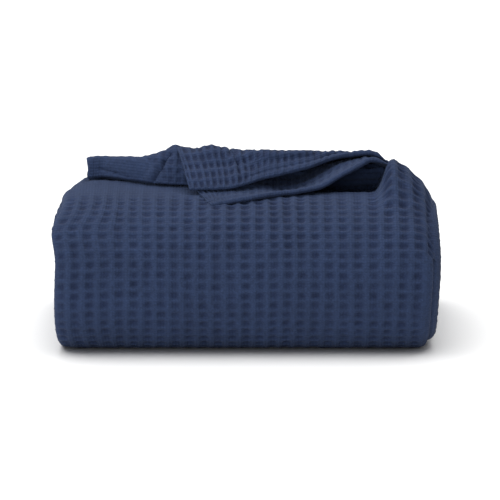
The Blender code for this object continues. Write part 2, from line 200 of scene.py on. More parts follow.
FRONT_BAND = rows_of(
    FLAP_FIELDS,
    (-163.5, 190, 170, 164.4, 164, 159.6, -162.2, 162, 149.4),
    (-159, 190, 171, 165.9, 164, 161.0, -159.0, 161, 147.8),
    (-146, 191, 175, 166.0, 167, 161.8, -147, 161, 148.8),
    (-133, 190, 166, 167.5, 157, 162.2, -133, 153, 149.2),
    (-120, 187, 157, 169.0, 148, 162.8, -120, 143.5, 149.6),
    (-108, 184, 152, 171.0, 141, 163.0, -108, 136.5, 149.8),
    (-97, 182, 149, 173.5, 136, 163.0, -97, 129.5, 149.8),
    (-84, 180, 149, 177.2, 134, 165.0, -84, 125, 149.6),
    (-74, 178, 149, 183.0, 132, 169.0, -76, 123.5, 149.4),
    (-64, 176, 146, 180.5, 130, 167.5, -65, 123, 149.2),
    (-54, 176, 142, 177.0, 127, 164.5, -54, 122, 149.0),
    (-44, 176, 139, 171.0, 126, 161.0, -44, 122, 148.4))
EMBEDDED_AT = 145.0     # x where the right ends of the two flaps lie inside the shoulder
PLY_SPREAD = 1.4        # how far above or below its surface
PLY = 2.6               # thickness of one loose ply

# ---- Weave ----------------------------------------------------------------------------------

# Width of the waffle cells along the bundle: the cloth is a little stretched at its right end
CELL_WIDTHS = rows_of(
    "x width",
    (-193, 14.2), (-60, 14.2), (-45, 13.86), (60, 13.9), (85, 14.3), (115, 15.3), (193, 15.7))
# Along the upper front the cells lie deeper, and their hollows take more of the painted shade,
# by a share that changes along the bundle
DEEPER_CELLS = rows_of(
    "x share",
    (-80, 0.0), (-30, 0.32), (50, 0.32), (72, 0.0), (122, 0.0), (142, 0.35), (193, 0.35))
TURN_CELL = 14.2        # width of the cells on a turned edge
LINING_CELL = 13.0      # and on the lining
HOLLOW_AT = -185.1      # x of the middle of the first column of hollows
ROW_START = 6.0         # the cover's first row starts this far before its own edge

# Creases and soft waves of a sheet, on its own flat x and length: a line from one point to
# another, how wide it is, and how far it stands out (or in, if negative)
Crease = namedtuple("Crease", "x0 along0 x1 along1 width height")


def eased(value):
    """0 to 1 with a soft start and end."""
    value = np.clip(value, 0.0, 1.0)
    return value * value * (3 - 2 * value)


def fade(value, start, end):
    """0 up to a start, 1 from an end on, and eased between them."""
    return eased((value - start) / (end - start))


def column(rows, name):
    """One field of a table, as an array."""
    return np.array([getattr(row, name) for row in rows], float)


def table(rows, key, at, name):
    """A table's field at any value of its key."""
    return np.interp(at, column(rows, key), column(rows, name))


def soft_table(rows, key, at, name, width):
    """A table's column, with its corners rounded over a width."""
    steps = np.linspace(-width, width, 7)
    return sum(table(rows, key, at + step, name) for step in steps) / len(steps)


def settle(x, depth, height):
    """The stack's own slumped shape, from its neat folded one."""
    draw = soft_table(END_SHAPE, "x", x, "draw", 4.0)
    left = soft_table(INSETS, "height", height, "left", 7.0)
    right = soft_table(INSETS, "height", height, "right", 7.0)
    inward = np.where(x < 0, left, -right) * draw
    back = soft_table(END_SHAPE, "x", x, "corner", 2.0) * np.clip(1 - depth / CORNER_FADE, 0, 1)
    slump = fade(depth, FULL_TO, SLUMPED_FROM)
    share = (soft_table(END_SHAPE, "x", x, "front", 5.0) * (1 - slump)
             + soft_table(END_SHAPE, "x", x, "back", 5.0) * slump)
    fall = np.clip((depth - BACK_FALL_FROM) / (DEPTH - BACK_FALL_FROM), 0, None)
    sunk = soft_table(TOP_HOLLOW, "x", x, "down", 5.0) * fade(height, 70, 145)
    sunk = sunk * fade(depth, 101, 127) * (1 - fade(depth, 150, 175))
    return x + inward, depth + back, height * share * (1 - BACK_FALL * fall) - sunk


def shoulder_rise(x, depth):
    """Height that the outer panel gains at its raised right shoulder."""
    across = np.where(x < SHOULDER[0].x - 1, 0.0, soft_table(SHOULDER, "x", x, "rise", 1.6))
    rising = fade(depth, SHOULDER_FROM, SHOULDER_FULL)
    falling = np.clip((SHOULDER_GONE - depth) / (SHOULDER_GONE - SHOULDER_HELD), 0, 1)
    return across * np.where(depth < SHOULDER_HELD, rising, falling)


def wrapped(points, nominal):
    """Points of the cover with its free right edge hung over the end, and how much longer the
    cloth is there than its nominal x says."""
    part = np.clip((nominal - WRAP_FROM) / (HALF_LENGTH + COVER_EDGE - WRAP_FROM), 0, 1)
    along, flat = part * WRAP[-1].along, (nominal - WRAP_FROM) * (part > 0)
    amount = fade(points[..., 2], 98, 128) * (1 - fade(points[..., 1], 155, 225))
    moved = points.copy()
    moved[..., 0] += amount * (table(WRAP, "along", along, "out") - flat)
    moved[..., 2] -= amount * table(WRAP, "along", along, "down")
    return moved, amount * (along - flat)


def level_height(number):
    """Height of a level's middle above the table."""
    return BASE + number * LEVEL_PITCH


def bend(reach, rise, power, steps=30):
    """A quarter of a rounded bend: (depth, height) from its upright middle to its level end."""
    angles = np.linspace(0, math.pi / 2, steps + 1)
    cosine = np.clip(np.cos(angles), 0, 1) ** (2 / power)
    return [(reach * (1 - c), rise * math.sin(a) ** (2 / power)) for c, a in zip(cosine, angles)]


def front_bend(fold):
    """(depth, height) along a front fold, from its upper level down to its lower one."""
    up = bend(fold.reach_up, level_height(fold.upper) - fold.height, fold.bend_up)
    low = bend(fold.reach_low, fold.height - level_height(fold.lower), fold.bend_low)
    upper_half = [(fold.front + d, fold.height + h) for d, h in reversed(up)]
    return upper_half + [(fold.front + d, fold.height - h) for d, h in low[1:]]


def back_bend(fold, steps=30):
    """(depth, height) along a back fold, from its upper level down to its lower one."""
    radius = (level_height(fold.upper) - level_height(fold.lower)) / 2
    middle = level_height(fold.lower) + radius
    angles = [math.pi * step / steps for step in range(steps + 1)]
    return [(fold.start + radius * math.sin(a), middle + radius * math.cos(a)) for a in angles]


Stop = namedtuple("Stop", "depth height left right raised")


def fold_between(folds, start, end):
    """The fold that joins two levels, if it is among these."""
    return next((fold for fold in folds if {fold.upper, fold.lower} == {start, end}), None)


def fold_stops(start, end):
    """The strip's middle line round the fold between two levels."""
    front = fold_between(FRONT_FOLDS, start, end)
    points = front_bend(front) if front else back_bend(fold_between(BACK_FOLDS, start, end))
    points = points if start > end else points[::-1]
    end_left = TURNED_LEFT if start == RETURN else LEVELS[end].left
    stops = []
    for index, (depth, height) in enumerate(points):
        part = index / (len(points) - 1)
        raised = COVER in (start, end) and start != RETURN and height > FRONT_FOLDS[0].height
        stops.append(Stop(
            depth, height, LEVELS[start].left * (1 - part) + end_left * part,
            LEVELS[start].right * (1 - part) + LEVELS[end].right * part, float(raised)))
    return stops


def level_stop(number, depth):
    """A stop on a level, at a depth."""
    return Stop(depth, level_height(number), *LEVELS[number], float(number == COVER))


def route(levels, start, end):
    """Stops along the strip over some levels, between a depth on the first and one on the last.
    Instead of its first depth a route can have its own first stops."""
    stops = list(start) if isinstance(start, list) else [level_stop(levels[0], start)]
    for a, b in zip(levels, levels[1:]):
        if fold_between(FRONT_FOLDS, a, b):
            stops += [level_stop(a, BACK_FALL_FROM), *fold_stops(a, b),
                      level_stop(b, BACK_FALL_FROM)]
        else:
            stops += fold_stops(a, b)
    return stops + [level_stop(levels[-1], end)]


class Stretch:
    """A stretch of the folded strip, measured along one of its faces."""

    def __init__(self, stops, offset):
        self.fields = {name: column(stops, name) for name in Stop._fields}
        depth, height = self.fields["depth"], self.fields["height"]
        steps = np.hypot(np.diff(depth), np.diff(height))
        keep = np.concatenate([[True], steps > 1e-6])
        for name in self.fields:
            self.fields[name] = self.fields[name][keep]
        depth, height = self.fields["depth"], self.fields["height"]
        into = np.stack([np.diff(depth), np.diff(height)])
        into /= np.hypot(*into)
        tangent = np.concatenate([into[:, :1], into[:, 1:] + into[:, :-1], into[:, -1:]], axis=1)
        tangent /= np.hypot(*tangent)
        self.fields["across_depth"], self.fields["across_height"] = -tangent[1], tangent[0]
        face = np.stack([depth - tangent[1] * offset, height + tangent[0] * offset])
        self.lengths = np.concatenate([[0], np.cumsum(np.hypot(*np.diff(face)))])
        self.length = self.lengths[-1]

    def at(self, places):
        """The strip's fields at places along it, as columns."""
        found = {n: np.interp(places, self.lengths, v)[:, None] for n, v in self.fields.items()}
        size = np.hypot(found["across_depth"], found["across_height"])
        found["across_depth"] /= size
        found["across_height"] /= size
        return found


def restretched(x, low, high, ends, new_ends):
    """x with what lies outside low and high stretched from some ends to new ones."""
    at_left = low + (x - low) * (new_ends[0] - low) / (ends[0] - low)
    at_right = high + (x - high) * (new_ends[1] - high) / (ends[1] - high)
    return np.where(x < low, at_left, np.where(x > high, at_right, x))


def fitted(x, left, right):
    """A column's own place in a strip that ends at left and right."""
    shorter = left > TURNED_LEFT - INNER_TURN
    low = np.where(shorter, RETURN_FIXED[0], FIXED[0])
    high = np.where(right < FIXED[1], RETURN_FIXED[1], FIXED[1])
    return restretched(x, low, high, FULL_ENDS, (left, right))


def loosened(x, left, right):
    """A column's x in the full strip, from its own place in one that ends at left and right."""
    return restretched(x, *RETURN_FIXED, (left, right), FULL_ENDS)


def placed(stretch_at, x, offset, lift=None, returned=False):
    """Points of the strip in the bundle, for columns at x and at an offset from its middle."""
    x, offset = x[None, :], offset[None, :]
    across = fitted(x, stretch_at["left"], stretch_at["right"])
    depth = stretch_at["depth"] + offset * stretch_at["across_depth"]
    height = stretch_at["height"] + offset * stretch_at["across_height"]
    if returned:
        front = soft_table(STRIP_FRONT, "x", across, "depth", 5.0)
        flat = (RETURN_FLAT_TO - stretch_at["depth"]) / (RETURN_FLAT_TO - NOMINAL_FRONT)
        flat = np.clip(flat, 0, 1)
        depth = depth + (front - NOMINAL_FRONT) * flat
    lifted = 0.0
    if lift is not None:
        lifted = shoulder_rise(x + 0 * depth - lift, depth) * stretch_at["raised"]
    px, pd, ph = settle(across + 0 * depth, depth, height)
    return np.stack([px, pd, ph + lifted], axis=-1)


# ---- Cells ----------------------------------------------------------------------------------

UNEVEN = np.random.default_rng(11).uniform(-1, 1, (5, 97, 101))


def uneven(kind, u, v):
    """A fixed uneven value from -1 to 1 for each cell."""
    return UNEVEN[kind, np.floor(u).astype(int) % 97, np.floor(v).astype(int) % 101]


def waves(x, y, scale, kind):
    """A smooth uneven surface from -1 to 1, its waves about a scale apart."""
    total = 0.0
    for k in range(6):
        a = UNEVEN[kind % 5, k, :4]
        angle = math.pi * (a[0] + k / 3)
        rate = 2 * math.pi / scale * (1 + 0.45 * a[1])
        total = total + np.sin(rate * (x * math.cos(angle) + y * math.sin(angle)) + 9 * a[2])
    return total / 3.4


def hollows(u, v):
    """How deep each point lies in its waffle cell, from 0 on the ribs to 1 in the hollow."""
    across = u - np.floor(u) - 0.48 - 0.04 * uneven(0, u, v)
    along = np.abs(v - np.floor(v) - 0.5 - 0.05 * uneven(1, u, v))
    across = np.abs(across) * np.where(across < 0, 1.08, 0.95)
    rib_u = eased((across - 0.07 - 0.02 * uneven(4, u, v)) / 0.40)
    rib_v = eased((along - 0.09) / 0.40) * (0.80 + 0.16 * uneven(2, u, v))
    return (1 - rib_u) * (1 - rib_v) * (0.84 + 0.16 * uneven(3, u, v))


def stripes(u, v):
    """The columns alone, as they show where the cloth is pulled flat."""
    across = np.abs(u - np.floor(u) - 0.48)
    return (1 - eased((across - 0.10) / 0.38)) * (0.8 + 0.2 * uneven(3, u, v))


def cell_edges():
    """x of the ribs between the columns of cells, to past the right end."""
    x, edges = HOLLOW_AT - CELL_WIDTHS[0].width / 2, []
    while x < HALF_LENGTH + 27:
        edges.append(x)
        x += float(table(CELL_WIDTHS, "x", x, "width"))
    return edges


def cell_columns(low, high):
    """x of the columns of points across the bundle, eight to a waffle cell."""
    edges = cell_edges()
    numbers = np.arange(len(edges))
    u = (numbers[:, None] + np.array([0, 0.18, 0.25, 0.32, 0.5, 0.68, 0.75, 0.82])).ravel()
    at = np.interp(u, numbers, edges)
    return at[(at > low + 1.0) & (at < high - 1.0)]


def cell_number(x):
    """Cell number of any x on the bundle, past its left end too."""
    edges = cell_edges()
    inside = np.interp(x, edges, np.arange(len(edges)))
    return inside + np.minimum(0, x - edges[0]) / CELL_WIDTHS[0].width


def cell_rows(length, pitch, share, first=0.0):
    """Places along a sheet with a share of rows to each cell."""
    spots = {8: [0, 0.12, 0.22, 0.34, 0.5, 0.66, 0.78, 0.88],
             7: [0, 0.13, 0.25, 0.39, 0.61, 0.75, 0.87],
             4: [0, 0.25, 0.5, 0.75], 3: [0, 0.34, 0.66]}[share]
    places = (np.arange(int(length / pitch) + 1)[:, None] + np.array(spots)).ravel() * pitch - first
    return places[(places > 0) & (places < length)]


def all_rows(stretch, pitch):
    """Eight rows to a cell, all along a stretch."""
    return cell_rows(stretch.length, pitch, 8)


def cover_rows(stretch, pitch):
    """Seven rows to a cell where the cover shows, and three under the base and the return strip."""
    places = []
    for share, wanted in ((7, False), (3, True)):
        rows = cell_rows(stretch.length, pitch, share, ROW_START)
        found = stretch.at(rows)
        depth, height = found["depth"][:, 0], found["height"][:, 0]
        hidden = ((height < 20) & (depth > 60) & (depth < 205)) | ((height > 120) & (depth > 172))
        places.append(rows[hidden == wanted])
    return np.sort(np.concatenate(places))


def open_ends(places, length):
    """For each place along a stretch, 0 at its two ends and 1 from a few millimetres in."""
    return eased(np.minimum(places, length - places)[:, None] / 4.0)


# ---- Meshes ---------------------------------------------------------------------------------

def outward(grid, inside):
    """Unit normals of a grid of points, away from the side that a second grid lies on."""
    along = np.gradient(grid, axis=0)
    across = np.gradient(grid, axis=1)
    normal = np.cross(along, across)
    normal /= np.maximum(np.linalg.norm(normal, axis=-1, keepdims=True), 1e-9)
    if np.sum(normal * (grid - inside)) < 0:
        normal = -normal
    return normal


def bridge(points, a, b):
    """Triangles between two rows of vertices that run side by side."""
    faces, i, j = [], 0, 0
    while i < len(a) - 1 or j < len(b) - 1:
        on_a = i < len(a) - 1 and (
            j == len(b) - 1 or
            np.linalg.norm(points[a[i + 1]] - points[b[j]])
            <= np.linalg.norm(points[a[i]] - points[b[j + 1]]))
        if on_a:
            faces.append((a[i], a[i + 1], b[j]))
            i += 1
        else:
            faces.append((a[i], b[j + 1], b[j]))
            j += 1
    return faces


def grid_faces(numbers):
    """The four-sided faces of a grid of vertex numbers."""
    a, b, c, d = numbers[:-1, :-1], numbers[:-1, 1:], numbers[1:, 1:], numbers[1:, :-1]
    return np.stack([a, b, c, d], axis=-1).reshape(-1, 4).tolist()


def make_sheet(name, outer, inner, values, inner_values, settings):
    """A closed sheet of cloth from its outer and inner grids, which meet along their edges. The
    values of each point are its flat x and length in mm and how deep it lies in a hollow."""
    rows, columns = outer.shape[:2]
    count = rows * columns
    points = np.concatenate([outer.reshape(-1, 3), inner.reshape(-1, 3)])
    points = (points - [0, MIDDLE, 0]) * MM
    points[:, 2] = np.maximum(points[:, 2], 0.0)
    fine = np.arange(count).reshape(rows, columns)
    rough = count + np.arange(inner.shape[0] * inner.shape[1]).reshape(inner.shape[:2])
    faces = grid_faces(fine) + [face[::-1] for face in grid_faces(rough)]
    for a, b in ((fine[0], rough[0]), (rough[-1], fine[-1]),
                 (rough[:, 0], fine[:, 0]), (fine[:, -1], rough[:, -1])):
        faces += bridge(points, a, b)
    mesh = bpy.data.meshes.new(name)
    mesh.from_pydata(points.tolist(), [], faces)
    shape = bmesh.new()
    shape.from_mesh(mesh)
    bmesh.ops.recalc_face_normals(shape, faces=shape.faces)
    shape.to_mesh(mesh)
    shape.free()
    every = np.concatenate([values.reshape(-1, 3), inner_values.reshape(-1, 3)])
    # how deep a point lies in a hollow also sets its colour: partly dye, partly painted shade
    mesh.attributes.new("hollow", "FLOAT", "POINT").data.foreach_set(
        "value", every[:, 2].astype(np.float32))
    corners = np.zeros(len(mesh.loops), np.int32)
    mesh.loops.foreach_get("vertex_index", corners)
    mesh.uv_layers.new(name="Cloth").data.foreach_set(
        "uv", (every[corners, :2] * MM).astype(np.float32).ravel())
    mesh.materials.append(waffle_cotton(settings))
    mesh.shade_smooth()
    piece = bpy.data.objects.new(name, mesh)
    bpy.context.scene.collection.objects.link(piece)
    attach(piece, BODY)
    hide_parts(NODE)
    return piece


def creased(x, along, creases):
    """How far the listed creases push each point of a sheet out."""
    push = np.zeros(np.broadcast(x, along).shape)
    for c in creases:
        run = np.array([c.x1 - c.x0, c.along1 - c.along0], float)
        size = np.hypot(*run)
        rx, ra = x - c.x0, along - c.along0
        part = np.clip((rx * run[0] + ra * run[1]) / size ** 2, 0, 1)
        away = np.hypot(rx - part * run[0], ra - part * run[1])
        push = push + c.height * np.exp(-(away / c.width) ** 2)
    return push


def half_turn(x, offset, start, end, count=8):
    """x and offset round a turned edge's outer face, between two angles."""
    angles = np.radians(np.linspace(start, end, count + 1)[1:])
    return x + OUTER_TURN * np.cos(angles), offset + OUTER_TURN * np.sin(angles)


def facts(grid_x, places, hollow):
    """Flat x, length and hollow for the points of a sheet."""
    shape = (len(places), len(grid_x))
    return np.stack([
        np.broadcast_to(grid_x[None, :], shape), np.broadcast_to(places[:, None], shape),
        np.broadcast_to(hollow, shape)], axis=-1)


def running(xs, offs):
    """Distance of each column from the first, along the cloth."""
    return np.concatenate([[0], np.cumsum(np.hypot(np.diff(xs), np.diff(offs)))])


INNER_SHADE = 0.3       # how deep a sheet's inner face counts, as a hollow: painted shade on the faces between the plies
# The round of a free edge: how far in from the edge, and how far from the panel's middle
EDGE_IN = np.array([0, 0.35, 1.3, 2.8])
EDGE_OFF = np.array([0, 1.5, 2.45, HALF_PANEL])
# x of the columns of points on a panel without cells, and on the inner face of one with cells
PLAIN_COLUMNS = np.concatenate([
    [-184, -180.5, -177, -172, -166], np.arange(-158, 160, TURN_CELL), [163, 168, 174, 178, 181]])
BACK_COLUMNS = np.array([-178, -172, -158, -145, -100, -50, 0, 50, 100])


def outer_panel(name, stops, settings, side=-1, rows=None, lift=False, returned=False, calm=None,
                first=0.0, face=None):
    """One outer panel of the strip, with the turned edge at its far end. Side -1 is the panel on
    the strip's lower side, turned at the left, and 1 the one on its upper side, turned at the
    right. With rows it has its cells all over, and without them only at the ends that show. Lift
    raises it at the shoulder and hangs its free edge over the end, calm says how strongly its
    cells show, and its length is measured at an offset face."""
    low, top = side * PANEL_PITCH, side * (PANEL_PITCH + HALF_PANEL)
    back = side * (PANEL_PITCH - HALF_PANEL)
    pitch = settings.row_pitch
    stretch = Stretch(stops, top if face is None else face)
    turn_x = side * (HALF_LENGTH - OUTER_TURN)
    edge = HALF_LENGTH + COVER_EDGE if side < 0 else -HALF_LENGTH + LOOSE_EDGE
    span = np.array(sorted((edge + side * EDGE_IN[-1], turn_x)))

    # across the outer face: the free edge, the panel, and the turned edge
    if returned:
        strip = LEVELS[RETURN]
        main = loosened(cell_columns(*fitted(span, *strip)), *strip)
    else:
        main = cell_columns(*span) if rows else PLAIN_COLUMNS
    main = main[(main > span[0] + 0.5) & (main < span[1] - 0.5)]
    if lift:
        main = np.concatenate([main[main < WRAP_FROM - 1], np.arange(WRAP_FROM, edge - 3, 0.6)])
    main = main[::side]
    turn_xs, turn_offs = half_turn(turn_x, side * PANEL_PITCH / 2, side * 90, side * 90 - 180)
    xs = np.concatenate([edge + side * EDGE_IN, main, [turn_x], turn_xs])
    offs = np.concatenate([low + side * EDGE_OFF, np.full(len(main) + 1, top), turn_offs])
    arc = running(xs, offs)
    at_turn = len(EDGE_IN) + len(main)
    number = cell_number(fitted(xs, *LEVELS[RETURN]) if returned else xs)
    number[at_turn:] = number[at_turn] + side * (arc[at_turn:] - arc[at_turn]) / TURN_CELL

    # the same across the inner face, with fewer columns
    inner_main = BACK_COLUMNS if rows else np.sort(main)
    if lift:
        risen = [row.x + row.shift for row in SHOULDER[:-1]]
        inner_main = np.sort(np.concatenate([inner_main, risen, [178, 181]]))
    inner_main = inner_main[(inner_main > span[0]) & (inner_main < span[1])][::side]
    inner_x = np.concatenate([
        edge + side * EDGE_IN[[1, 3]], inner_main,
        [turn_x, turn_x + side * INNER_TURN, turn_x]])
    inner_off = np.concatenate([
        [low - side * EDGE_OFF[1], back], np.full(len(inner_main), back),
        [back, side * PANEL_PITCH / 2, -side * HALF_PANEL * 0.9]])

    # both faces in their folded places
    places = rows(stretch, pitch) if rows else cell_rows(stretch.length, pitch, 4, first)
    places = np.concatenate([[0], places, [stretch.length]])
    rough_places = places
    if rows:
        rough_places = np.linspace(0, stretch.length, max(3, int(stretch.length / 9)))
    fine, rough = stretch.at(places), stretch.at(rough_places)
    no_shift, shift = None, None
    if lift:
        shifts = {r.x + r.shift: r.shift for r in SHOULDER}
        no_shift, shift = 0.0, np.array([shifts.get(x, 0.0) for x in inner_x])
    outer = placed(fine, xs, offs, no_shift, returned)
    beneath = placed(fine, xs, offs - side * np.minimum(1.0, np.abs(offs)), no_shift, returned)
    inner = placed(rough, inner_x, inner_off, shift, returned)
    u = number[None, :] + 0 * places[:, None]
    if lift:
        outer, longer = wrapped(outer, xs[None, :])
        beneath, inner = wrapped(beneath, xs[None, :])[0], wrapped(inner, inner_x[None, :])[0]
        u = u + longer / CELL_WIDTHS[-1].width
    normal = outward(outer, beneath)

    # the cells' relief
    u = u + 0.10 * waves(outer[..., 0], places[:, None], 160, 1)
    v = (places[:, None] + first) / pitch + 0.08 * waves(outer[..., 0], places[:, None], 130, 2)
    show = np.minimum(arc / 9.0, 1.0)[None, :] ** 2
    if not rows:
        show = show * fade(np.abs(xs), 160, 178)[None, :]
    show = show * open_ends(places, stretch.length)
    full = calm(outer[..., 0], outer[..., 1], outer[..., 2]) if calm else 1.0
    deep = hollows(u, v) * show * full
    flat_stripes = 0.22 * stripes(u, v) * show * np.maximum(1 - full, 0)
    push = settings.rib_height * show * full - (settings.rib_height + settings.hollow_depth) * deep
    outer = outer + normal * (push - 0.5 * flat_stripes)[..., None]
    return make_sheet(
        name, outer, inner, facts(arc, places, deep + flat_stripes),
        facts(np.abs(inner_x - edge), rough_places, INNER_SHADE), settings)


def lining(name, stops, settings, side=1, returned=False):
    """The other two panels of the strip, with the turned edge between them."""
    pitch = settings.row_pitch
    stretch = Stretch(stops, 0.0)
    places = np.concatenate([[0], cell_rows(stretch.length, pitch, 3), [stretch.length]])
    at = stretch.at(places)
    turn_x = side * (HALF_LENGTH - OUTER_TURN)
    loose = -HALF_LENGTH + LOOSE_EDGE if side > 0 else HALF_LENGTH + COVER_EDGE
    to_turn = np.concatenate([
        [-184, -180, -176, -172, -166], np.arange(-158, 160, 2 * TURN_CELL),
        [163, 168, 174, 178, 182, 185]])[::side]
    back_x = to_turn[::-1]
    back_x = back_x[(back_x > min(loose, turn_x) + 2.9) & (back_x < max(loose, turn_x) - 0.5)]
    edge = EDGE_IN[::-1]
    half, far = side * HALF_PANEL, side * (PANEL_PITCH + HALF_PANEL)
    near_far = side * (PANEL_PITCH - HALF_PANEL)
    turn_xs, turn_offs = half_turn(turn_x, side * PANEL_PITCH / 2, -90 * side, -90 * side + 180)
    xs = np.concatenate([[-turn_x], to_turn, [turn_x], turn_xs, back_x, loose + side * edge])
    offs = np.concatenate([
        np.full(len(to_turn) + 2, -half), turn_offs, np.full(len(back_x), far),
        side * (PANEL_PITCH + EDGE_OFF[::-1])])
    inner_x = np.concatenate([
        [-turn_x], to_turn, [turn_x, turn_x + side * INNER_TURN, turn_x], back_x,
        loose + side * edge[[0, 2]]])
    inner_off = np.concatenate([
        np.full(len(to_turn) + 2, half), [side * PANEL_PITCH / 2],
        np.full(len(back_x) + 2, near_far), [side * (PANEL_PITCH - EDGE_OFF[1])]])
    outer = placed(at, xs, offs, None, returned)
    centre = placed(at, xs - side * 0.8 * (np.abs(xs) > HALF_TURNED), offs * 0.9, None, returned)
    arc = running(xs, offs)
    show = fade(np.abs(xs), 168, 180) * eased((arc[-1] - arc) / 6) * eased(arc / 10)
    show = show[None, :] * open_ends(places, stretch.length)
    deep = hollows(arc[None, :] / LINING_CELL, places[:, None] / pitch) * show
    push = (0.25 * show - 0.9 * deep) * settings.rib_height
    outer = outer + outward(outer, centre) * push[..., None]
    inner = placed(at, inner_x, inner_off, None, returned)
    return make_sheet(
        name, outer, inner, facts(arc, places, deep),
        facts(np.abs(inner_x), places, INNER_SHADE), settings)


# ---- Loose plies ----------------------------------------------------------------------------

def between(a, b, c, d, t):
    """What lies a share t of the way from b to c on a smooth curve through a, b, c and d."""
    return 0.5 * (2 * b + (c - a) * t + (2 * a - 5 * b + 4 * c - d) * t ** 2
                  + (3 * b - a - 3 * c + d) * t ** 3)


def spline(points, pieces=12):
    """A smooth line through a few points, as close short steps."""
    ends = np.array([points[0]] + points + [points[-1]], float)
    line = [between(*four, step / pieces)
            for four in zip(ends, ends[1:], ends[2:], ends[3:]) for step in range(pieces)]
    return np.array(line + [ends[-1]])


def flap_line(row):
    """A loose ply's middle line, from its root on the settled strip to its hem."""
    root = [float(v) for v in settle(np.array(row.x), np.array(row.root), ROOT_HEIGHT)]
    side = (row.x + row.hem_x) / 2
    return spline([
        (row.x, root[1], root[2]), (row.x, row.crest_depth, row.crest_height),
        (side, row.knee_depth, row.knee_height), (row.hem_x, row.hem_depth, row.hem_height)])


def embedded_line(row, offset):
    """The right end of a loose ply, inside the raised shoulder."""
    points = []
    for depth in (row.root, row.crest_depth, row.knee_depth, row.hem_depth):
        x, d = np.array(EMBEDDED_AT), np.array(float(depth))
        height = settle(x, d, level_height(COVER) + PANEL_PITCH)[2]
        points.append((EMBEDDED_AT, depth, float(height + shoulder_rise(x, d)) + offset))
    return spline(points)


def measured(line, count):
    """The same line in equal steps, and its length."""
    steps = np.linalg.norm(np.diff(line, axis=0), axis=1)
    far = np.concatenate([[0], np.cumsum(steps)])
    places = np.linspace(0, far[-1], count)
    return np.stack([np.interp(places, far, line[:, k]) for k in range(3)], axis=-1), far[-1]


def through(lines, at):
    """Lines between lines: a smooth blend at each fractional line number."""
    low = np.clip(np.floor(at).astype(int), 0, len(lines) - 2)
    t = (at - low)[:, None, None]
    return between(lines[np.maximum(low - 1, 0)], lines[low], lines[low + 1],
                   lines[np.minimum(low + 2, len(lines) - 1)], t)


HEM_WIDTH = 7.6
HEM_BULK = 2.5          # half the thickness of the rolled hem
LINE_STEPS = 60         # equal steps along each line of cloth


def hem_bulk(distance, full):
    """Half the thickness of a loose ply at a distance from its edge, with a share of a full hem."""
    edge = np.sqrt(np.clip(1 - (1 - np.minimum(distance, 2.2) / 2.2) ** 2, 0.0, 1))
    bead = np.clip(1 - np.abs(distance / HEM_WIDTH * 2 - 1) ** 3.2, 0.0, 1) * edge
    groove = -0.45 * full * np.exp(-((distance - HEM_WIDTH - 0.5) / 0.8) ** 2)
    return PLY / 2 * edge + (HEM_BULK - PLY / 2) * full * bead + groove + 0.2


def thinned(count, whole, step):
    """The first few numbers of a run, then one in so many, and its last."""
    return np.unique(np.concatenate([np.arange(whole), np.arange(whole, count, step), [count - 1]]))


